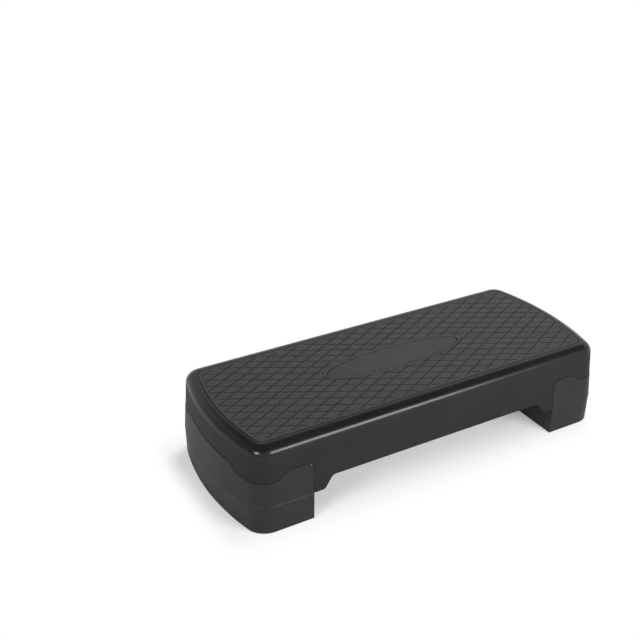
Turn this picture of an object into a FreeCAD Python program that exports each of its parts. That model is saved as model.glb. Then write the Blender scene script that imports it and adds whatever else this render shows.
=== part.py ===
"""Aerobic step platform: a moulded deck with an inlaid mat, standing on two lift-off risers.

The object stands on z = 0 with its middle over the origin. The length runs along x, the width along y.
All sizes are in millimetres, drafts in degrees.
"""
import FreeCAD, Part
import Sketcher
import math
import os

doc = FreeCAD.newDocument("StepPlatform")

# Driving sizes
SIZES = {
    # Outline in plan at the widest level; the corner inset runs from the end to the corner's centre
    "half_length": 340,
    "half_width": 140,
    "corner_radius": 34,
    "corner_inset": 47.9,
    # Heights of the two stacked mouldings: the lower one up to the waist, the upper one up to the tread
    "riser_height": 47.5,
    "deck_height": 96.5,
    # Deck moulding
    "deck_draft": 4.2,
    "roll_radius": 16,
    "deck_wall": 3,
    "top_wall": 4.5,
    "ledge_wall": 5.5,
    "arch_drop": 76.5,
    "arch_run": 14,
    "arch_round": 9,
    "skirt_foot": 18.5,
    # Risers and the tabs that fill the deck's notches
    "riser_length": 113,
    "riser_draft": 1,
    "riser_proud": 0.5,
    "riser_wall": 2.8,
    "riser_inset": 6.5,
    "under_inset": 3.8,
    "shelf_wall": 3,
    "seam_gap": 0.5,
    "tab_drop": 43.5,
    "tab_width": 38.5,
    "tab_run": 19.5,
    "tab_round": 12,
    "slope_round": 11,
    "corner_step": 12.5,
    "end_tab_step": 4,
    "end_tab_depth": 45,
    "end_tab_inset": 52,
    "end_tab_run": 16,
    # Hidden legs of the deck
    "leg_clearance": 0.7,
    "leg_wall": 3,
    # Ribs
    "rib_wall": 2.4,
    "rib_root": 0.8,
    "rib_drop": 26,
    "rib_middle": 28,
    "rib_side_inset": 56,
    "leg_rib_rise": 2.5,
    "end_rib_inset": 65,
    "riser_rib_level": 3,
    # Anti-slip mat with its raised diamond pads, and the oval plate
    "mat_end_inset": 24.5,
    "mat_side_inset": 27.3,
    "mat_corner_radius": 14,
    "mat_corner_inset": 26.1,
    "mat_thickness": 1.8,
    "mat_rise": 0.4,
    "mat_gap": 0.6,
    "mat_border": 4,
    "pad_length": 38.9,
    "pad_width": 21.2,
    "groove_width": 2.2,
    "groove_depth": 1.1,
    "plate_half_length": 123.8,
    "plate_half_width": 28.5,
    "plate_gap": 2,
    "rim_width": 5,
    "rim_rise": 0.8,
    "plate_thickness": 2,
    # Rubber feet and their boss tubes
    "foot_radius": 12,
    "foot_thickness": 4,
    "foot_rise": 1,
    "foot_gap": 0.3,
    "foot_bevel": 0.8,
    "foot_ledge": 3,
    "boss_wall": 2.7,
    "foot_inner_inset": 21,
    "foot_outer_inset": 38,
    "foot_side_inset": 32,
}

sheet = doc.addObject("Spreadsheet::Sheet", "Sizes")
for row, (name, number) in enumerate(SIZES.items(), start=1):
    sheet.set("A%d" % row, name)
    sheet.set("B%d" % row, str(number))
    sheet.setAlias("B%d" % row, name)
doc.recompute()


def amount(*terms):
    """A sum of named sizes, as an expression and as a number. A leading minus takes the size away."""
    text = "0 mm"
    number = 0.0
    for term in terms:
        name = term.lstrip("-")
        size = float(sheet.get(name))
        if term.startswith("-"):
            text += " - Sizes.%s * 1 mm" % name
            number -= size
        else:
            text += " + Sizes.%s * 1 mm" % name
            number += size
    return text, number


# Levels and places that several pieces share, as sums of sizes
TREAD = ("riser_height", "deck_height")
DECK_TOP = TREAD + ("-mat_rise",)
RECESS_FLOOR = TREAD + ("-mat_thickness",)
GROOVE_FLOOR = TREAD + ("-groove_depth",)
UNDERSIDE = DECK_TOP + ("-top_wall",)
RIB_TOP = UNDERSIDE + ("rib_root",)
ARCH_LEVEL = TREAD + ("-arch_drop",)
TAB_LEVEL = TREAD + ("-tab_drop",)
LEDGE_LEVEL = TAB_LEVEL + ("ledge_wall",)
WAIST = ("riser_height",)
SHELF_TOP = WAIST + ("-foot_rise",)
SHELF_UNDERSIDE = SHELF_TOP + ("-shelf_wall",)
LEG_INSET = ("riser_inset", "leg_clearance")
LEG_HOLLOW_INSET = LEG_INSET + ("leg_wall",)
RISER_FACE = ("half_length", "-riser_length")
RISER_HOLLOW_FACE = RISER_FACE + ("riser_wall",)
LEG_FACE = RISER_HOLLOW_FACE + ("leg_clearance",)
LEG_HOLLOW_FACE = LEG_FACE + ("leg_wall",)
LEFT, RIGHT = ("-half_length",), ("half_length",)
FRONT, BACK = ("-half_width",), ("half_width",)
END_RIB = ("half_length", "-end_rib_inset")
MAT_END = ("half_length", "-mat_end_inset")
MAT_SIDE = ("half_width", "-mat_side_inset")
BEYOND = ("half_length", "half_width")

# How near an edge has to lie to a level or a corner to be picked there
NEAR = 0.01
# Cross ribs divide the span between the risers into this many bays
CROSS_RIB_BAYS = 8
# The diamond pattern is shifted along the mat by this share of a pad's length
PATTERN_SHIFT = 0.25


def minus(terms):
    """The same sizes, taken away instead of added."""
    return tuple(term[1:] if term.startswith("-") else "-" + term for term in terms)


def bind(thing, prop, terms):
    """Sets one property of a document object from named sizes."""
    thing.setExpression(prop, amount(*terms)[0])


def fix(sketch, values, expression):
    """Adds one dimension to a sketch and binds it to an expression."""
    index = sketch.addConstraint(Sketcher.Constraint(*values))
    sketch.setExpression("Constraints[%d]" % index, expression)


def new_sketch(body, name, role, level=None):
    """An empty sketch on one of the body's own planes, lifted to a level if one is given."""
    sketch = body.newObject("Sketcher::SketchObject", name)
    plane = [item for item in body.Origin.OriginFeatures if item.Role == role][0]
    sketch.AttachmentSupport = [(plane, "")]
    sketch.MapMode = "FlatFace"
    if level:
        bind(sketch, "AttachmentOffset.Base.z", level)
    doc.recompute()
    return sketch


def bowed_sketch(body, name, level, half_length, half_width, corner, corner_place):
    """Outline with straight long sides, bowed ends and round corners, fully dimensioned."""
    sketch = new_sketch(body, name, "XY_Plane", level)
    length = amount(*half_length)[1]
    width = amount(*half_width)[1]
    round_size = amount(*corner)[1]
    corner_x = amount(*corner_place)[1]
    corner_y = width - round_size
    reach = length - round_size
    bow_middle = (corner_x ** 2 + corner_y ** 2 - reach ** 2) / (2 * (reach - corner_x))
    bow_size = length + bow_middle
    turn = math.asin(corner_y / (bow_size - round_size))
    quarter = math.pi / 2
    up = FreeCAD.Vector(0, 0, 1)

    def arc(x, y, radius, start, end):
        circle = Part.Circle(FreeCAD.Vector(x, y, 0), up, radius)
        return sketch.addGeometry(Part.ArcOfCircle(circle, start, end), False)

    def line(x_from, x_to, y):
        start = FreeCAD.Vector(x_from, y, 0)
        end = FreeCAD.Vector(x_to, y, 0)
        return sketch.addGeometry(Part.LineSegment(start, end), False)

    right_end = arc(-bow_middle, 0, bow_size, -turn, turn)
    back_right = arc(corner_x, corner_y, round_size, turn, quarter)
    back = line(corner_x, -corner_x, width)
    back_left = arc(-corner_x, corner_y, round_size, quarter, math.pi - turn)
    left_end = arc(bow_middle, 0, bow_size, math.pi - turn, math.pi + turn)
    front_left = arc(-corner_x, -corner_y, round_size, math.pi + turn, 3 * quarter)
    front = line(-corner_x, corner_x, -width)
    front_right = arc(corner_x, -corner_y, round_size, 3 * quarter, 4 * quarter - turn)
    apex = sketch.addGeometry(Part.Point(FreeCAD.Vector(length, 0, 0)), True)
    chain = [right_end, back_right, back, back_left, left_end, front_left, front, front_right]
    for first, second in zip(chain, chain[1:] + chain[:1]):
        sketch.addConstraint(Sketcher.Constraint("Tangent", first, 2, second, 1))
    sketch.addConstraint(Sketcher.Constraint("Symmetric", back, 1, back, 2, -2))
    sketch.addConstraint(Sketcher.Constraint("Symmetric", front, 1, front, 2, -2))
    for other in (back_left, front_left, front_right):
        sketch.addConstraint(Sketcher.Constraint("Equal", back_right, other))
    sketch.addConstraint(Sketcher.Constraint("Equal", right_end, left_end))
    sketch.addConstraint(Sketcher.Constraint("PointOnObject", right_end, 3, -1))
    sketch.addConstraint(Sketcher.Constraint("Equal", back, front))
    sketch.addConstraint(Sketcher.Constraint("PointOnObject", apex, 1, -1))
    sketch.addConstraint(Sketcher.Constraint("PointOnObject", apex, 1, right_end))
    fix(sketch, ("DistanceX", -1, 1, apex, 1, length), amount(*half_length)[0])
    fix(sketch, ("DistanceY", -1, 1, back, 1, width), amount(*half_width)[0])
    fix(sketch, ("Radius", back_right, round_size), amount(*corner)[0])
    fix(sketch, ("DistanceX", -1, 1, back_right, 3, corner_x), amount(*corner_place)[0])
    return sketch


def outline_sketch(body, name, level, inset=()):
    """The object's own plan outline, set in by the given sizes."""
    away = minus(inset)
    return bowed_sketch(body, name, level, ("half_length",) + away, ("half_width",) + away,
                        ("corner_radius",) + away, ("half_length", "-corner_inset"))


def pad(body, name, sketch, length, draft=None, downward=False):
    """Pads a sketch upward or downward, narrowing by a draft if one is named."""
    feature = body.newObject("PartDesign::Pad", name)
    feature.Profile = sketch
    feature.Reversed = downward
    bind(feature, "Length", length)
    if draft:
        feature.setExpression("TaperAngle", "-Sizes.%s * 1 deg" % draft)
    doc.recompute()
    return feature


def outline_block(name, level, length, inset=(), draft=None, downward=False):
    """A block with the object's plan outline."""
    body = doc.addObject("PartDesign::Body", name)
    sketch = outline_sketch(body, name + "_outline", level, inset)
    pad(body, name + "_block", sketch, length, draft, downward)
    return body


def round_edges(body, name, edges, radius):
    """Rounds the body's edges that the test picks out."""
    picked = ["Edge%d" % number for number, edge in enumerate(body.Shape.Edges, start=1) if edges(edge)]
    before = body.Tip
    feature = body.newObject("PartDesign::Fillet", name)
    feature.Base = (before, picked)
    bind(feature, "Radius", radius)
    body.Tip = feature
    doc.recompute()


def at_level(level):
    """Picks the edges that lie wholly in one level."""
    height = amount(*level)[1]

    def test(edge):
        return abs(edge.BoundBox.ZMin - height) < NEAR and abs(edge.BoundBox.ZMax - height) < NEAR
    return test


def along(axis, corners):
    """Picks the edges along one axis that pass through the given corners of a profile."""
    across = [name for name in "xyz" if name != axis]

    def test(edge):
        middle = edge.CenterOfMass
        if getattr(edge.BoundBox, axis.upper() + "Length") < 1:
            return False
        for corner in corners:
            places = [amount(*terms)[1] for terms in corner]
            if all(abs(getattr(middle, name) - place) < NEAR for name, place in zip(across, places)):
                return True
        return False
    return test


def profile_block(name, role, corners, length, start=None):
    """A prism with a straight-sided profile. Corners are pairs of sums; an empty sum lies on the axis."""
    body = doc.addObject("PartDesign::Body", name)
    sketch = new_sketch(body, name + "_profile", role, start)
    points = [FreeCAD.Vector(amount(*across)[1], amount(*height)[1], 0) for across, height in corners]
    sides = []
    for first, second in zip(points, points[1:] + points[:1]):
        sides.append(sketch.addGeometry(Part.LineSegment(first, second), False))
    for first, second in zip(sides, sides[1:] + sides[:1]):
        sketch.addConstraint(Sketcher.Constraint("Coincident", first, 2, second, 1))
    for side, (across, height) in zip(sides, corners):
        if across:
            fix(sketch, ("DistanceX", -1, 1, side, 1, amount(*across)[1]), amount(*across)[0])
        else:
            sketch.addConstraint(Sketcher.Constraint("PointOnObject", side, 1, -2))
        if height:
            fix(sketch, ("DistanceY", -1, 1, side, 1, amount(*height)[1]), amount(*height)[0])
        else:
            sketch.addConstraint(Sketcher.Constraint("PointOnObject", side, 1, -1))
    feature = body.newObject("PartDesign::Pad", name + "_block")
    feature.Profile = sketch
    if start is None:
        feature.SideType = "Symmetric"
    bind(feature, "Length", length)
    doc.recompute()
    return body


def box(name, x_from, x_to, y_from, y_to, z_from, z_to):
    """A box between pairs of sums along each axis."""
    item = doc.addObject("Part::Box", name)
    spans = (("Length", "x", x_from, x_to), ("Width", "y", y_from, y_to), ("Height", "z", z_from, z_to))
    for prop, axis, low, high in spans:
        bind(item, prop, high + minus(low))
        bind(item, "Placement.Base." + axis, low)
    return item


def cylinder(name, radius, x, y, z_from, z_to):
    """An upright cylinder."""
    item = doc.addObject("Part::Cylinder", name)
    bind(item, "Radius", radius)
    bind(item, "Height", z_to + minus(z_from))
    bind(item, "Placement.Base.x", x)
    bind(item, "Placement.Base.y", y)
    bind(item, "Placement.Base.z", z_from)
    return item


def cut(name, base, tool, merge=True):
    """One shape with another taken away. Faces that lie in one plane are merged unless told otherwise."""
    item = doc.addObject("Part::Cut", name)
    item.Base = base
    item.Tool = tool
    item.Refine = merge
    return item


def fuse(name, shapes):
    """Several shapes joined into one."""
    item = doc.addObject("Part::MultiFuse", name)
    item.Shapes = shapes
    item.Refine = True
    return item


def common(name, shapes):
    """The space that several shapes share."""
    item = doc.addObject("Part::MultiCommon", name)
    item.Shapes = shapes
    item.Refine = True
    return item


def mirrored(name, source, normal):
    """A mirror image across the middle plane with the given normal."""
    item = doc.addObject("Part::Mirroring", name)
    item.Source = source
    item.Normal = normal
    return item


# Middle planes of the object, by their normals
ACROSS_LENGTH = FreeCAD.Vector(1, 0, 0)
ACROSS_WIDTH = FreeCAD.Vector(0, 1, 0)


def both_ends(name, right):
    """One shape at the right end and its mirror image at the left end."""
    left = mirrored(name + "_left", right, ACROSS_LENGTH)
    return fuse(name, [right, left])


def riser_region(name, gap):
    """The space at the right end, below the seam, that the riser fills. The gap keeps it off the deck."""
    less = minus(gap)
    tab = TAB_LEVEL + less
    low = tab + ("-corner_step",)
    face = RISER_FACE
    if not gap:
        face = RISER_FACE + ("-seam_gap",)
    slope_top = (RISER_FACE + ("tab_width",), tab)
    slope_foot = (RISER_FACE + ("tab_width", "tab_run"), low)
    corners = [(face, ()), (BEYOND, ()), (BEYOND, low), slope_foot, slope_top, (face, tab)]
    sides = profile_block(name + "_sides", "XZ_Plane", corners, BEYOND + BEYOND)
    edges = along("y", [slope_foot, slope_top])
    round_edges(sides, name + "_slopes", edges, ("slope_round",))
    round_edges(sides, name + "_corner", along("y", [(face, tab)]), ("tab_round",))

    raised = tab + ("-end_tab_step",)
    end_top = (BACK + ("-end_tab_inset", "-end_tab_run"), raised)
    end_foot = (BACK + ("-end_tab_inset",), low)
    under = low + ("-deck_wall",)
    end_corners = [((), raised), end_top, end_foot, (BACK, low), (BACK, under), ((), under)]
    start = ("half_length", "-end_tab_depth")
    half = profile_block(name + "_end_half", "YZ_Plane", end_corners, BEYOND, start)
    round_edges(half, name + "_end_slopes", along("x", [end_top, end_foot]), ("slope_round",))
    other = mirrored(name + "_end_other_half", half, ACROSS_WIDTH)
    return fuse(name, [sides, half, other])


def foot_places():
    """The places of the four rubber feet at the right end, with a word for each."""
    inner = RISER_FACE + ("foot_inner_inset",)
    outer = ("half_length", "-foot_outer_inset")
    back = BACK + ("-foot_side_inset",)
    for x_word, x in (("inner", inner), ("outer", outer)):
        for y_word, y in (("front", minus(back)), ("back", back)):
            yield y_word + "_" + x_word, x, y


def foot_tubes(name, z_from, z_to):
    """Boss tubes at the right end, each with a bore and a seat for a rubber foot: solids, then hollows."""
    seat_top = z_from + ("foot_thickness", "-foot_rise")
    bore_top = z_to + ("-rib_root",)
    seat_radius = ("foot_radius", "foot_gap")
    boss_radius = seat_radius + ("boss_wall",)
    bore_radius = ("foot_radius", "-foot_ledge")
    solids = []
    hollows = []
    for word, x, y in foot_places():
        solids.append(cylinder("%s_%s_boss" % (name, word), boss_radius, x, y, z_from, z_to))
        hollows.append(cylinder("%s_%s_bore" % (name, word), bore_radius, x, y, z_from, bore_top))
        hollows.append(cylinder("%s_%s_seat" % (name, word), seat_radius, x, y, z_from, seat_top))
    return solids, hollows


def ribs_along(name, x_from, x_to, z_from, z_to):
    """Four ribs that run along the length."""
    ribs = []
    for word, place in (("inner", ("rib_middle",)), ("outer", BACK + ("-rib_side_inset",))):
        near = place + ("-rib_wall",)
        ribs.append(box("%s_%s_back" % (name, word), x_from, x_to, near, place, z_from, z_to))
        ribs.append(box("%s_%s_front" % (name, word), x_from, x_to, minus(place), minus(near), z_from, z_to))
    return ribs


def rib_across(name, x, z_from, z_to):
    """One rib across the whole width."""
    return box(name, x, x + ("rib_wall",), FRONT, BACK, z_from, z_to)


def rolled_form(name, top, inset=()):
    """The deck's drafted form with its rolled top edge, set in by the given sizes."""
    form = outline_block(name, WAIST, top + minus(WAIST), ("riser_proud",) + inset, "deck_draft")
    round_edges(form, name + "_roll", at_level(top), ("roll_radius",) + minus(inset))
    return form


def leg_inside(name, inset, x_from):
    """The plan of the right leg, set in by the given sizes, as an upright block."""
    plan = outline_block(name + "_plan", WAIST, TREAD, inset)
    limit = box(name + "_limit", x_from, BEYOND, FRONT, BACK, (), BEYOND)
    return common(name, [plan, limit])


def deck_hollow(inner):
    """All that is empty under the deck: the middle, the space over the ledge and the two legs."""
    middle_limit = box("deck_middle_limit", minus(LEG_FACE), LEG_FACE, FRONT, BACK, (), DECK_TOP)
    middle = common("deck_middle_hollow", [inner, middle_limit])
    upper_limit = box("deck_upper_limit", LEFT, RIGHT, FRONT, BACK, LEDGE_LEVEL, DECK_TOP)
    upper = common("deck_upper_hollow", [inner, upper_limit])
    leg_form = leg_inside("leg_hollow_form", LEG_HOLLOW_INSET, LEG_HOLLOW_FACE)
    leg_limit = box("leg_hollow_height", (), BEYOND, FRONT, BACK, (), LEDGE_LEVEL + ("rib_wall",))
    leg = common("leg_hollow", [leg_form, leg_limit])
    return fuse("deck_hollow", [middle, upper, both_ends("leg_hollows", leg)])


def deck_notches():
    """What is cut from the deck's skirt: the arch along both long sides and the rebates for the risers."""
    foot = RISER_FACE + ("-skirt_foot",)
    slope_foot = (foot, WAIST)
    slope_top = (foot + ("-arch_run",), ARCH_LEVEL)
    corners = [((), ()), (RISER_FACE, ()), (RISER_FACE, WAIST), slope_foot, slope_top, ((), ARCH_LEVEL)]
    arch = profile_block("arch_half", "XZ_Plane", corners, BEYOND + BEYOND)
    round_edges(arch, "arch_slope", along("y", [slope_foot, slope_top]), ("arch_round",))
    rebate = cut("rebate", riser_region("rebate_region", ()), leg_inside("leg_form", LEG_INSET, LEG_FACE))
    return [both_ends("arch", arch), both_ends("rebates", rebate)]


def deck_ribs():
    """Ribs under the top plate, the cross ribs spaced evenly between the risers."""
    low = TREAD + ("-rib_drop",)
    ribs = ribs_along("deck_rib", LEFT, RIGHT, low, RIB_TOP)
    for number in range(1, CROSS_RIB_BAYS):
        rib = rib_across("deck_cross_rib_%d" % number, (), low, RIB_TOP)
        share = (2 * number - CROSS_RIB_BAYS, CROSS_RIB_BAYS)
        place = "(%s) * %d / %d" % (amount(*RISER_FACE)[0], *share)
        rib.setExpression("Placement.Base.x", place + " - Sizes.rib_wall / 2 * 1 mm")
        ribs.append(rib)
    return ribs


def leg_ribs(bosses):
    """Ribs and boss tubes inside the right leg, and its wall towards the arch, up to the top plate."""
    low = WAIST + ("leg_rib_rise",)
    ribs = ribs_along("leg_rib", LEG_FACE, RIGHT, low, RIB_TOP)
    ribs.append(rib_across("leg_cross_rib", END_RIB, low, RIB_TOP))
    ribs.append(box("leg_face_wall", LEG_FACE, LEG_HOLLOW_FACE, FRONT, BACK, WAIST, RIB_TOP))
    limit = leg_inside("leg_rib_form", LEG_HOLLOW_INSET + ("-rib_root",), LEG_FACE)
    return common("leg_ribs_right", [limit, fuse("leg_rib_grid", ribs + bosses)])


def mat_block(name, level, length, inset=()):
    """A block with the mat's plan outline, set in by the given sizes."""
    away = minus(inset)
    body = doc.addObject("PartDesign::Body", name)
    sketch = bowed_sketch(body, name + "_outline", level, MAT_END + away, MAT_SIDE + away,
                          ("mat_corner_radius",) + away, MAT_END + ("-mat_corner_inset",))
    pad(body, name + "_block", sketch, length)
    return body


def oval_block(name, level, length, grow=()):
    """A block with the oval plate's outline, grown by the given sizes."""
    ring = doc.addObject("Part::Ellipse", name + "_outline")
    bind(ring, "MajorRadius", ("plate_half_length",) + grow)
    bind(ring, "MinorRadius", ("plate_half_width",) + grow)
    bind(ring, "Placement.Base.z", level)
    block = doc.addObject("Part::Extrusion", name)
    block.Base = ring
    block.DirMode = "Custom"
    block.Dir = FreeCAD.Vector(0, 0, 1)
    bind(block, "LengthFwd", length)
    block.Solid = True
    return block


def make_deck():
    """The moulded deck: a hollow shell with its skirt cut to shape, then ribs, tubes and the mat's recess."""
    outer = rolled_form("deck_outer", DECK_TOP)
    inner = rolled_form("deck_inner", UNDERSIDE, ("deck_wall",))
    shell = cut("deck_shell", outer, fuse("deck_removed", [deck_hollow(inner)] + deck_notches()))
    bosses, hollows = foot_tubes("leg", WAIST, RIB_TOP)
    grid = fuse("deck_rib_grid", deck_ribs() + [both_ends("leg_ribs", leg_ribs(bosses))])
    limit = rolled_form("deck_rib_limit", RIB_TOP, ("deck_wall", "-rib_root"))
    body = fuse("deck_body", [shell, common("deck_ribs", [limit, grid])])
    recess = mat_block("mat_recess", RECESS_FLOOR, TREAD)
    bores = both_ends("leg_boss_hollows", fuse("leg_boss_hollows_right", hollows))
    return cut("deck", body, fuse("deck_pockets", [recess, bores]))


def slanted_grooves(region):
    """The grooves that lean one way between the diamond pads, kept to the given region of the mat."""
    lean = "atan(Sizes.pad_width / Sizes.pad_length)"
    slope = amount("pad_width")[1] / amount("pad_length")[1]
    reach = amount(*MAT_END)[1] + amount(*MAT_SIDE)[1] / slope
    count = math.ceil(reach / amount("pad_length")[1])
    strips = []
    for number in range(-count, count + 1):
        strip = doc.addObject("Part::Box", "groove_strip_%d" % (number + count))
        bind(strip, "Length", BACK * 4)
        bind(strip, "Width", ("groove_width",))
        bind(strip, "Height", ("groove_depth",))
        middle = "(%d - %g) * Sizes.pad_length * 1 mm" % (number, PATTERN_SHIFT)
        back_along = "Sizes.half_width * 2 mm"
        back_across = "Sizes.groove_width / 2 * 1 mm"
        strip.setExpression("Placement.Rotation.Angle", lean)
        strip.setExpression("Placement.Base.x", "%s - cos(%s) * %s + sin(%s) * %s" % (
            middle, lean, back_along, lean, back_across))
        strip.setExpression("Placement.Base.y", "-sin(%s) * %s - cos(%s) * %s" % (
            lean, back_along, lean, back_across))
        bind(strip, "Placement.Base.z", GROOVE_FLOOR)
        strips.append(strip)
    group = doc.addObject("Part::Compound", "groove_strips")
    group.Links = strips
    return common("grooves", [region, group])


def make_mat():
    """The mat: a sheet with a raised rim round its oval opening, grooved into diamond pads."""
    rim_height = ("mat_thickness", "rim_rise")
    rim_grow = ("plate_gap", "rim_width")
    blank = mat_block("mat_blank", RECESS_FLOOR, ("mat_thickness",), ("mat_gap",))
    rim = oval_block("mat_rim", RECESS_FLOOR, rim_height, rim_grow)
    opening = oval_block("mat_opening", RECESS_FLOOR, rim_height, ("plate_gap",))
    sheet_body = cut("mat_sheet", fuse("mat_raised", [blank, rim]), opening)
    field = mat_block("pad_field", GROOVE_FLOOR, ("groove_depth",), ("mat_gap", "mat_border"))
    kept = oval_block("pad_field_rim", GROOVE_FLOOR, ("groove_depth",), rim_grow)
    grooves = slanted_grooves(cut("pad_region", field, kept))
    crossing = mirrored("grooves_crossing", grooves, ACROSS_LENGTH)
    once = cut("mat_grooved_once", sheet_body, grooves)
    return cut("anti_slip_mat", once, crossing, merge=False)


def make_oval_plate():
    """The smooth oval plate in the mat's opening."""
    return oval_block("oval_plate", RECESS_FLOOR, ("plate_thickness",))


def make_risers():
    """The right riser, and the left one as its mirror image."""
    upper = outline_block("riser_upper", WAIST, TAB_LEVEL + minus(WAIST), (), "deck_draft")
    lower = outline_block("riser_lower", WAIST, SHELF_TOP, (), "riser_draft", True)
    region = riser_region("riser_region", ("seam_gap",))
    form = common("riser_form", [fuse("riser_whole", [upper, lower]), region])
    limits = (RISER_HOLLOW_FACE, BEYOND, FRONT, BACK)
    well_plan = outline_block("riser_well_plan", SHELF_TOP, TREAD, ("riser_inset",))
    well = common("riser_well", [well_plan, box("riser_well_limit", *limits, (), BEYOND)])
    under_plan = outline_block("riser_under_plan", (), SHELF_UNDERSIDE, ("under_inset",))
    under = common("riser_under", [under_plan, box("riser_under_limit", *limits, (), BEYOND)])
    shell = cut("riser_shell", form, fuse("riser_removed", [well, under]))
    top = SHELF_UNDERSIDE + ("rib_root",)
    start = RISER_HOLLOW_FACE + ("-rib_root",)
    low = ("riser_rib_level",)
    ribs = ribs_along("riser_rib", start, RIGHT, low, top)
    ribs.append(rib_across("riser_cross_rib", END_RIB, low, top))
    bosses, hollows = foot_tubes("riser", ("foot_rise",), top)
    limit = outline_block("riser_rib_limit", (), top, ("under_inset", "-rib_root"))
    trimmed = common("riser_ribs", [limit, fuse("riser_rib_grid", ribs + bosses)])
    body = fuse("riser_body", [shell, trimmed])
    right = cut("right_riser", body, fuse("riser_boss_hollows", hollows))
    left = mirrored("left_riser", right, ACROSS_LENGTH)
    return right, left


def make_foot(name, x, y, level):
    """One rubber foot: a disc with a bevelled lower edge."""
    body = doc.addObject("PartDesign::Body", name)
    sketch = new_sketch(body, name + "_circle", "XY_Plane")
    radius = amount("foot_radius")
    circle = Part.Circle(FreeCAD.Vector(0, 0, 0), FreeCAD.Vector(0, 0, 1), radius[1])
    ring = sketch.addGeometry(circle, False)
    sketch.addConstraint(Sketcher.Constraint("Coincident", ring, 3, -1, 1))
    fix(sketch, ("Radius", ring, radius[1]), radius[0])
    pad(body, name + "_disc", sketch, ("foot_thickness",))
    lower = at_level(())
    picked = ["Edge%d" % number for number, edge in enumerate(body.Shape.Edges, start=1) if lower(edge)]
    before = body.Tip
    bevel = body.newObject("PartDesign::Chamfer", name + "_bevel")
    bevel.Base = (before, picked)
    bind(bevel, "Size", ("foot_bevel",))
    body.Tip = bevel
    bind(body, "Placement.Base.x", x)
    bind(body, "Placement.Base.y", y)
    bind(body, "Placement.Base.z", level)
    return body


def make_feet():
    """Four rubber feet under each riser and four under each of the deck's legs."""
    feet = []
    for owner, level in (("riser", ()), ("leg", SHELF_TOP)):
        for side in ("left", "right"):
            for word, x, y in foot_places():
                place = minus(x) if side == "left" else x
                feet.append(make_foot("%s_%s_foot_%s" % (side, owner, word), place, y, level))
    return feet


def write(nodes):
    """Checks every object, then writes one file for each node."""
    doc.recompute()
    for item in doc.Objects:
        if "Invalid" in item.State or "Error" in item.State:
            raise RuntimeError("%s did not build: %s" % (item.Name, item.State))
    os.makedirs("parts", exist_ok=True)
    for node in nodes:
        shape = node.Shape
        if shape.isNull() or not shape.isValid():
            raise RuntimeError("%s has no valid shape" % node.Label)
        if len(shape.Solids) != 1:
            raise RuntimeError("%s has %d solids" % (node.Label, len(shape.Solids)))
        shape.exportStep("parts/%s.step" % node.Label)
        print(node.Label, "%.0f mm3" % shape.Volume, shape.BoundBox)


write([make_deck(), make_mat(), make_oval_plate(), *make_risers(), *make_feet()])
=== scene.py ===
"""Studio scene of the aerobic step platform: materials, mat detail, mould lines, floor, light and camera.

Everything is in metres in the part's own frame: x along the length, y across towards the back, z up.
"""
import bmesh
import bpy
import math
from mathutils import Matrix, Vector


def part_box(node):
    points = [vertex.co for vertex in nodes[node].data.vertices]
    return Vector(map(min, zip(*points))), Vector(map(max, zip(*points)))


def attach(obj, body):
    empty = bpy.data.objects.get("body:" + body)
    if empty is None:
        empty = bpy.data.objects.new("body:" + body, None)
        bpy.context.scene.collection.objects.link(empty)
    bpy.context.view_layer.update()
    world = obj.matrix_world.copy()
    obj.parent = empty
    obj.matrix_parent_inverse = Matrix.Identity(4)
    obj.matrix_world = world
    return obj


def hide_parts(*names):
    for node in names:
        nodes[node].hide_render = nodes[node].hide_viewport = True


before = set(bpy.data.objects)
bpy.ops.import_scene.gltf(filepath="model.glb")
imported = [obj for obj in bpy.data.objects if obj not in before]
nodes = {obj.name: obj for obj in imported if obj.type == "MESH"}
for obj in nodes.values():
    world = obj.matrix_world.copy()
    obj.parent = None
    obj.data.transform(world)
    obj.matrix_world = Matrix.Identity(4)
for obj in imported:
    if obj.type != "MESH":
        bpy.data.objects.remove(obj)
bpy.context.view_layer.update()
MM = 0.001

# Camera of the photograph, fitted to the object's corners, seams and outline
CAMERA_PLACE = Vector((-0.7850, -1.1438, 0.9355))
CAMERA_TARGET = Vector((-0.1315, 0.0128, 0.2389))
CAMERA_LENS = 54.94
CAMERA_SENSOR = 36.0

# How much the mat has shrunk from the edge of its recess, on each side
MAT_SEAM = 0.9 * MM
# Points of the mat's mesh that are nearer than this are one, and so are faces that bend by less than this
MAT_SAME_POINT = 0.002 * MM
MAT_SAME_FACE = math.radians(0.5)
# Edges of the pads that are worn round: at least this high over the mat's underside, and at least this sharp
PAD_EDGE_HEIGHT = 1.6 * MM
PAD_EDGE_BEND = math.radians(60)
# How far they are worn, in how many steps, and the shape, which is round
PAD_WEAR = 0.25 * MM
PAD_WEAR_STEPS = 2
PAD_WEAR_SHAPE = 0.5

# Fine line that the mould leaves round each riser: its height over the floor, and its reach out and up
LINE_HEIGHT = 47.5 * MM
LINE_OUT = 0.24 * MM
LINE_UP = 0.33 * MM
LINE_ROUGHNESS = 0.39
# How near to that height the riser's points have to be, and the decimals of a millimetre that tell two apart
LINE_TOLERANCE = 0.01 * MM
LINE_DECIMALS = 2

# Levels of detail in a noise, and the middle of its range, where most of its values lie
SMOOTH_DETAIL = 0.0
PLAIN_DETAIL = 2.0
FINE_DETAIL = 4.0
NOISE_MIDDLE = (0.3, 0.7)
# Rays with which a material looks for edges to soften
EDGE_SAMPLES = 4
# Last channel of every colour
OPAQUE = (1.0,)

# Plastic of the deck and risers: its linear colour, the share by which that drifts, and over what distance
PLASTIC_COLOUR = (0.0085, 0.0086, 0.0100)
PLASTIC_DRIFT = 0.12
PLASTIC_DRIFT_SIZE = 60 * MM
# Specular levels of the two mouldings: the risers come out of their mould a little glossier
DECK_GLOSS = 0.25
RISER_GLOSS = 0.32
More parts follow.
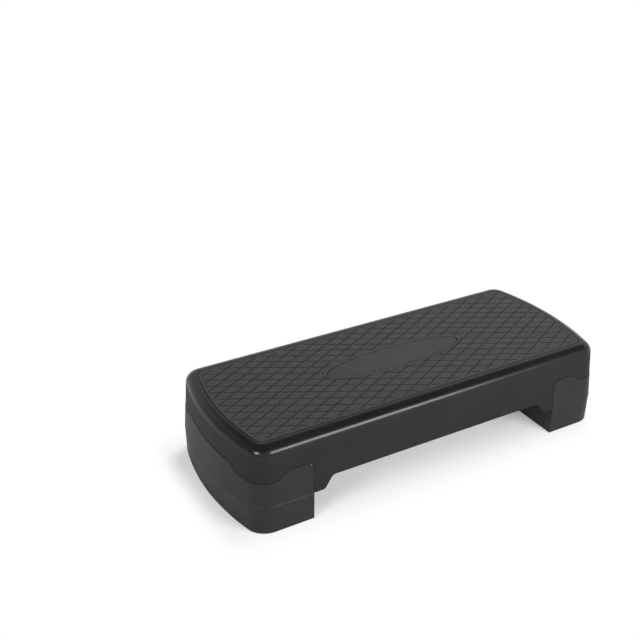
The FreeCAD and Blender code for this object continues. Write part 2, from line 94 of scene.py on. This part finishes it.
# Radius to which their edges look rounded
PLASTIC_EDGE = 0.7 * MM
# Roughness of their textured walls and of the smoother rolled edge, and the heights between which it changes
DECK_WALL_ROUGHNESS = 0.66
RISER_WALL_ROUGHNESS = 0.56
ROLL_ROUGHNESS = 0.22
ROLL_START = (125 * MM, 135 * MM)
# What patches of this size add to the roughness
PLASTIC_PATCHES = (0.0, 0.04)
PLASTIC_PATCH_SIZE = 25 * MM
# Waviness of a large moulding, and fine grain
PLASTIC_WAVE_SIZE = 90 * MM
PLASTIC_WAVE_DEPTH = 0.1 * MM
PLASTIC_GRAIN_SIZE = 0.7 * MM
PLASTIC_GRAIN_DEPTH = 0.005 * MM

# Rubber of the mat
MAT_COLOUR = (0.0190, 0.0190, 0.0198)
MAT_SPECKLE = 0.14
MAT_SPECKLE_SIZE = 1.6 * MM
MAT_GLOSS = 0.6
MAT_ROUGHNESS = (0.52, 0.58)
MAT_PATCH_SIZE = 30 * MM
MAT_GRAIN_SIZE = 0.5 * MM
MAT_GRAIN_DEPTH = 0.02 * MM

# Plastic of the oval plate
PLATE_COLOUR = (0.0250, 0.0257, 0.0265)
PLATE_DRIFT = 0.08
PLATE_DRIFT_SIZE = 45 * MM
PLATE_GLOSS = 0.2
PLATE_ROUGHNESS = (0.38, 0.44)
PLATE_PATCH_SIZE = 20 * MM
PLATE_GRAIN_SIZE = 0.6 * MM
PLATE_GRAIN_DEPTH = 0.008 * MM
PLATE_EDGE = 0.4 * MM

# Rubber of the feet
FOOT_COLOUR = (0.018, 0.018, 0.018)
FOOT_SCUFF = 0.35
FOOT_SCUFF_SIZE = 4 * MM
FOOT_ROUGHNESS = (0.7, 0.85)
FOOT_PATCH_SIZE = 6 * MM
FOOT_GRAIN_SIZE = 0.8 * MM
FOOT_GRAIN_DEPTH = 0.03 * MM

# Floor: a wide disc
FLOOR_RADIUS = 9.0
FLOOR_CORNERS = 96
FLOOR_COLOUR = (0.86, 0.87, 0.89)
FLOOR_ROUGHNESS = 0.9
FLOOR_GLOSS = 0.1
# It shows the shadow within this half length and half width, and fades to white over these distances
FLOOR_SHADED = (0.34, 0.10, 0.0)
FLOOR_FADE = (0.045, 0.085, 1.0)
# Share of that white where it shows the shadow
FLOOR_NEAR_WHITE = 0.28

# Studio round it, as light from each direction
SURROUND_COLOUR = (0.97, 0.98, 1.0)
# Heights over the horizon, in degrees, between which the studio's pale walls fade to its ceiling
WALL_TOP = (34.0, 43.0)
WALL_STRENGTH = 0.95
CEILING_STRENGTH = 0.12
# Share of that light at the far left, and the x of the directions between which it comes up to the whole
FAR_SIDE_SHARE = 0.4
FAR_SIDE = (-0.85, -0.3)

# Soft boxes: where each one is, what it points at, its width and height, and its power in watts
FILL_BOX = dict(place=(0.75, 0.75, 1.00), target=(0.10, 0.0, 0.14), size=(0.80, 0.60), power=16.0)
RIGHT_BOX = dict(place=(0.56, -1.45, 0.84), target=(-0.05, -0.13, 0.13), size=(0.78, 0.48), power=22.0)
LEFT_BOX = dict(place=(-1.50, -0.66, 0.87), target=(-0.31, -0.12, 0.13), size=(0.58, 0.30), power=16.5)


# Steps that the materials and the surround share
def new_material(name):
    """A node material with a plain Principled surface: the material, its node tree and that surface."""
    material = bpy.data.materials.new(name)
    material.use_nodes = True
    tree = material.node_tree
    shader = tree.nodes["Principled BSDF"]
    return material, tree, shader


def noise(tree, size, detail=PLAIN_DETAIL):
    """Noise whose features are about the given size, fixed to the piece."""
    coordinates = tree.nodes.new("ShaderNodeTexCoord")
    texture = tree.nodes.new("ShaderNodeTexNoise")
    texture.inputs["Scale"].default_value = 1.0 / size
    texture.inputs["Detail"].default_value = detail
    tree.links.new(coordinates.outputs["Object"], texture.inputs["Vector"])
    return texture.outputs["Fac"]


def map_range(tree, source, limits, results, way="LINEAR"):
    """Maps the values between two limits to those between two results."""
    node = tree.nodes.new("ShaderNodeMapRange")
    node.interpolation_type = way
    node.inputs["From Min"].default_value = limits[0]
    node.inputs["From Max"].default_value = limits[1]
    node.inputs["To Min"].default_value = results[0]
    node.inputs["To Max"].default_value = results[1]
    tree.links.new(source, node.inputs["Value"])
    return node.outputs["Result"]


def spread(tree, source, span):
    """Maps the middle of a noise's range to a span."""
    return map_range(tree, source, NOISE_MIDDLE, span)


def fade(tree, source, limits, results):
    """Goes softly from the first result, below the limits, to the second, above them."""
    return map_range(tree, source, limits, results, "SMOOTHSTEP")


def along_axis(tree, coordinates, axis):
    """One axis of the place or direction that is shaded."""
    place = tree.nodes.new("ShaderNodeTexCoord")
    split = tree.nodes.new("ShaderNodeSeparateXYZ")
    tree.links.new(place.outputs[coordinates], split.inputs["Vector"])
    return split.outputs[axis]


def combine(tree, operation, first, second, clamp=False):
    """Works out one value from two."""
    node = tree.nodes.new("ShaderNodeMath")
    node.operation = operation
    node.use_clamp = clamp
    tree.links.new(first, node.inputs[0])
    tree.links.new(second, node.inputs[1])
    return node.outputs["Value"]


def vector_step(tree, operation, source, fixed=(0.0, 0.0, 0.0)):
    """Works out one vector, or for LENGTH one value, from another vector and a fixed one."""
    node = tree.nodes.new("ShaderNodeVectorMath")
    node.operation = operation
    node.inputs[1].default_value = fixed
    tree.links.new(source, node.inputs[0])
    return node.outputs["Value" if operation == "LENGTH" else "Vector"]


def varied_colour(tree, shader, colour, source, amount):
    """Lets the colour drift a little darker and lighter with a noise."""
    ramp = tree.nodes.new("ShaderNodeValToRGB")
    gains = (1.0 - amount, 1.0 + amount)
    for element, position, gain in zip(ramp.color_ramp.elements, NOISE_MIDDLE, gains):
        element.position = position
        element.color = tuple(channel * gain for channel in colour) + OPAQUE
    tree.links.new(source, ramp.inputs["Fac"])
    tree.links.new(ramp.outputs["Color"], shader.inputs["Base Color"])


def patchy_roughness(tree, shader, size, span):
    """Lets the roughness drift within a span, in patches of about the given size."""
    tree.links.new(spread(tree, noise(tree, size), span), shader.inputs["Roughness"])


def bumps(tree, shader, layers, edge=None):
    """Stacks bump layers of (noise, depth), over edges softened by the given radius."""
    normal = None
    if edge:
        soft = tree.nodes.new("ShaderNodeBevel")
        soft.samples = EDGE_SAMPLES
        soft.inputs["Radius"].default_value = edge
        normal = soft.outputs["Normal"]
    for source, depth in layers:
        bump = tree.nodes.new("ShaderNodeBump")
        bump.inputs["Strength"].default_value = 1.0
        bump.inputs["Distance"].default_value = depth
        tree.links.new(source, bump.inputs["Height"])
        if normal:
            tree.links.new(normal, bump.inputs["Normal"])
        normal = bump.outputs["Normal"]
    tree.links.new(normal, shader.inputs["Normal"])


# Materials of the object
def moulded_plastic(name, gloss, wall_roughness, edge=PLASTIC_EDGE):
    """Black plastic, matt on its walls and satin on its rolled edge, with a moulding's slight waviness."""
    material, tree, shader = new_material(name)
    drift = noise(tree, PLASTIC_DRIFT_SIZE)
    grain = noise(tree, PLASTIC_GRAIN_SIZE)
    wave = noise(tree, PLASTIC_WAVE_SIZE, SMOOTH_DETAIL)
    varied_colour(tree, shader, PLASTIC_COLOUR, drift, PLASTIC_DRIFT)
    height = along_axis(tree, "Object", "Z")
    finish = fade(tree, height, ROLL_START, (wall_roughness, ROLL_ROUGHNESS))
    patches = spread(tree, noise(tree, PLASTIC_PATCH_SIZE), PLASTIC_PATCHES)
    tree.links.new(combine(tree, "ADD", finish, patches), shader.inputs["Roughness"])
    shader.inputs["Specular IOR Level"].default_value = gloss
    bumps(tree, shader, [(wave, PLASTIC_WAVE_DEPTH), (grain, PLASTIC_GRAIN_DEPTH)], edge)
    return material


def mat_rubber():
    """Dark grey rubber, matt, with a dusty speckle."""
    material, tree, shader = new_material("mat_rubber")
    speckle = noise(tree, MAT_SPECKLE_SIZE, FINE_DETAIL)
    grain = noise(tree, MAT_GRAIN_SIZE)
    varied_colour(tree, shader, MAT_COLOUR, speckle, MAT_SPECKLE)
    patchy_roughness(tree, shader, MAT_PATCH_SIZE, MAT_ROUGHNESS)
    shader.inputs["Specular IOR Level"].default_value = MAT_GLOSS
    bumps(tree, shader, [(grain, MAT_GRAIN_DEPTH)])
    return material


def plate_plastic():
    """Smooth satin plastic of the bare oval plate."""
    material, tree, shader = new_material("plate_plastic")
    drift = noise(tree, PLATE_DRIFT_SIZE)
    grain = noise(tree, PLATE_GRAIN_SIZE)
    varied_colour(tree, shader, PLATE_COLOUR, drift, PLATE_DRIFT)
    patchy_roughness(tree, shader, PLATE_PATCH_SIZE, PLATE_ROUGHNESS)
    shader.inputs["Specular IOR Level"].default_value = PLATE_GLOSS
    bumps(tree, shader, [(grain, PLATE_GRAIN_DEPTH)], PLATE_EDGE)
    return material


def foot_rubber():
    """Black rubber of the feet, scuffed a little lighter in places."""
    material, tree, shader = new_material("foot_rubber")
    scuffs = noise(tree, FOOT_SCUFF_SIZE, FINE_DETAIL)
    grain = noise(tree, FOOT_GRAIN_SIZE)
    varied_colour(tree, shader, FOOT_COLOUR, scuffs, FOOT_SCUFF)
    patchy_roughness(tree, shader, FOOT_PATCH_SIZE, FOOT_ROUGHNESS)
    bumps(tree, shader, [(grain, FOOT_GRAIN_DEPTH)])
    return material


# Pieces of the object
def dress(obj, material):
    """Gives one object one material."""
    obj.data.materials.clear()
    obj.data.materials.append(material)


def dress_frame():
    """Gives every CAD node that is seen its material. The mat's worn form, made later, brings its own."""
    deck_plastic = moulded_plastic("deck_plastic", DECK_GLOSS, DECK_WALL_ROUGHNESS)
    riser_plastic = moulded_plastic("riser_plastic", RISER_GLOSS, RISER_WALL_ROUGHNESS)
    rubber = foot_rubber()
    for name, obj in nodes.items():
        if "_foot_" in name:
            dress(obj, rubber)
        elif name.endswith("_riser"):
            dress(obj, riser_plastic)
        else:
            dress(obj, deck_plastic)
    dress(nodes["oval_plate"], plate_plastic())


def even_deck_shading():
    """Lets the deck's large flat faces lead its normals, so that they run clean into the rolled edge."""
    shading = nodes["deck"].modifiers.new("even_shading", "WEIGHTED_NORMAL")
    shading.mode = "FACE_AREA"
    shading.keep_sharp = True


def new_object(name, body):
    """Turns a mesh under construction into an object of the scene."""
    mesh = bpy.data.meshes.new(name)
    body.to_mesh(mesh)
    body.free()
    obj = bpy.data.objects.new(name, mesh)
    bpy.context.scene.collection.objects.link(obj)
    return obj


def wear_pads(body, underside):
    """Rounds the upper edges of the mat's pads."""
    upper = [edge for edge in body.edges
             if min(vert.co.z for vert in edge.verts) > underside + PAD_EDGE_HEIGHT
             and edge.is_manifold and edge.calc_face_angle() > PAD_EDGE_BEND]
    bmesh.ops.bevel(body, geom=upper, offset=PAD_WEAR, offset_type="OFFSET", segments=PAD_WEAR_STEPS,
                    profile=PAD_WEAR_SHAPE, affect="EDGES", clamp_overlap=True)


def make_mat():
    """The mat with its pads' edges worn round, in place of the sharp-edged solid."""
    body = bmesh.new()
    body.from_mesh(nodes["anti_slip_mat"].data)
    bmesh.ops.remove_doubles(body, verts=body.verts, dist=MAT_SAME_POINT)
    bmesh.ops.dissolve_limit(body, angle_limit=MAT_SAME_FACE, verts=body.verts, edges=body.edges)
    low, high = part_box("anti_slip_mat")
    wear_pads(body, low[2])
    for vert in body.verts:
        vert.co.x *= 1.0 - 2.0 * MAT_SEAM / (high[0] - low[0])
        vert.co.y *= 1.0 - 2.0 * MAT_SEAM / (high[1] - low[1])
    obj = new_object("mat_with_pads", body)
    dress(obj, mat_rubber())
    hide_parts("anti_slip_mat")
    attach(obj, "deck")


def line_points(riser):
    """The points on a riser's outer walls at the height of its mould line, in order from front to back."""
    low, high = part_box(riser)
    inner_face = min(low.x, high.x, key=abs)
    level = {}
    for vert in nodes[riser].data.vertices:
        if abs(vert.co.z - LINE_HEIGHT) < LINE_TOLERANCE:
            place = tuple(round(value / MM, LINE_DECIMALS) for value in vert.co.xy)
            level[place] = vert.co.copy()
    return sorted(level.values(), key=lambda point: math.atan2(point.y, abs(point.x - inner_face)))


def line_rings(body, points):
    """The ridge's corners round each point of the line: out, up, in and down."""
    last = len(points) - 1
    up = Vector((0.0, 0.0, LINE_UP))
    rings = []
    for index, point in enumerate(points):
        along = (points[min(index + 1, last)] - points[max(index - 1, 0)]).normalized()
        out = Vector((along.y, -along.x, 0.0)) * LINE_OUT
        if point.x < 0.0:
            out = -out
        rings.append([body.verts.new(point + offset) for offset in (out, up, -out, -up)])
    return rings


def make_mould_line(riser, material):
    """A slim ridge along the mould line of one riser, half sunk in its walls."""
    body = bmesh.new()
    rings = line_rings(body, line_points(riser))
    for ring, following in zip(rings, rings[1:]):
        for corner in range(len(ring)):
            after = (corner + 1) % len(ring)
            body.faces.new((ring[corner], ring[after], following[after], following[corner]))
    for cap in (rings[0], rings[-1]):
        body.faces.new(cap)
    bmesh.ops.recalc_face_normals(body, faces=body.faces)
    obj = new_object(riser + "_mould_line", body)
    dress(obj, material)
    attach(obj, riser)


def make_mould_lines():
    """The mould lines of both risers, too slim for softened edges."""
    material = moulded_plastic("line_plastic", RISER_GLOSS, LINE_ROUGHNESS, None)
    for riser in ("left_riser", "right_riser"):
        make_mould_line(riser, material)


# Studio round the object
def floor_white(tree):
    """Share of plain white at each place of the floor: little where the shadow is, and all away from it."""
    place = tree.nodes.new("ShaderNodeTexCoord")
    from_middle = vector_step(tree, "ABSOLUTE", place.outputs["Object"])
    past_shadow = vector_step(tree, "SUBTRACT", from_middle, FLOOR_SHADED)
    outside = vector_step(tree, "MAXIMUM", past_shadow)
    faded = vector_step(tree, "DIVIDE", outside, FLOOR_FADE)
    distance = vector_step(tree, "LENGTH", faded)
    return fade(tree, distance, (0.0, 1.0), (FLOOR_NEAR_WHITE, 1.0))


def floor_seen(tree):
    """One for the rays that see the floor, also in gloss or through glass, and nought for all others."""
    ray = tree.nodes.new("ShaderNodeLightPath")
    seen = combine(tree, "ADD", ray.outputs["Is Camera Ray"], ray.outputs["Is Glossy Ray"])
    return combine(tree, "ADD", seen, ray.outputs["Is Transmission Ray"], clamp=True)


def pale_floor():
    """Matt and pale, and seen as plain white away from the object's shadow."""
    material, tree, shader = new_material("pale_floor")
    shader.inputs["Base Color"].default_value = FLOOR_COLOUR + OPAQUE
    shader.inputs["Roughness"].default_value = FLOOR_ROUGHNESS
    shader.inputs["Specular IOR Level"].default_value = FLOOR_GLOSS
    white = tree.nodes.new("ShaderNodeEmission")
    mix = tree.nodes.new("ShaderNodeMixShader")
    share = combine(tree, "MULTIPLY", floor_white(tree), floor_seen(tree))
    tree.links.new(share, mix.inputs["Fac"])
    tree.links.new(shader.outputs["BSDF"], mix.inputs[1])
    tree.links.new(white.outputs["Emission"], mix.inputs[2])
    tree.links.new(mix.outputs["Shader"], tree.nodes["Material Output"].inputs["Surface"])
    return material


def make_floor():
    """A wide pale floor, which keeps the object's shadow."""
    bpy.ops.mesh.primitive_circle_add(vertices=FLOOR_CORNERS, radius=FLOOR_RADIUS, fill_type="NGON",
                                      location=(0, 0, 0))
    floor = bpy.context.object
    floor.name = "studio_floor"
    dress(floor, pale_floor())


def make_surround():
    """Pale studio walls, which darken towards the ceiling and towards the left."""
    world = bpy.data.worlds.new("studio_surround")
    world.use_nodes = True
    tree = world.node_tree
    background = tree.nodes["Background"]
    background.inputs["Color"].default_value = SURROUND_COLOUR + OPAQUE
    wall_top = [math.sin(math.radians(angle)) for angle in WALL_TOP]
    walls = fade(tree, along_axis(tree, "Generated", "Z"), wall_top, (WALL_STRENGTH, CEILING_STRENGTH))
    side = fade(tree, along_axis(tree, "Generated", "X"), FAR_SIDE, (FAR_SIDE_SHARE, 1.0))
    tree.links.new(combine(tree, "MULTIPLY", walls, side), background.inputs["Strength"])
    bpy.context.scene.world = world


def aim(obj, place, target):
    """Adds a lamp or camera to the scene, in its place and pointing at a target."""
    obj.location = place
    obj.rotation_euler = (Vector(target) - Vector(place)).to_track_quat("-Z", "Y").to_euler()
    bpy.context.scene.collection.objects.link(obj)


def soft_box(name, place, target, size, power):
    """A rectangular lamp that the camera doesn't see."""
    data = bpy.data.lights.new(name, "AREA")
    data.shape = "RECTANGLE"
    data.size, data.size_y = size
    data.energy = power
    lamp = bpy.data.objects.new(name, data)
    lamp.visible_camera = False
    aim(lamp, place, target)
    return lamp


def make_light():
    """A fill from the far right, kept out of the gloss, and soft boxes that draw lines on the rolled edge."""
    fill = soft_box("fill_box", **FILL_BOX)
    fill.visible_glossy = False
    soft_box("right_box", **RIGHT_BOX)
    soft_box("left_box", **LEFT_BOX)


def make_camera():
    """The photograph's camera."""
    data = bpy.data.cameras.new("photo_camera")
    data.lens = CAMERA_LENS
    data.sensor_width = CAMERA_SENSOR
    data.sensor_fit = "HORIZONTAL"
    camera = bpy.data.objects.new("photo_camera", data)
    aim(camera, CAMERA_PLACE, CAMERA_TARGET)
    bpy.context.scene.camera = camera


dress_frame()
even_deck_shading()
make_mat()
make_mould_lines()
make_floor()
make_surround()
make_light()
make_camera()
bpy.context.scene.view_settings.view_transform = "Standard"
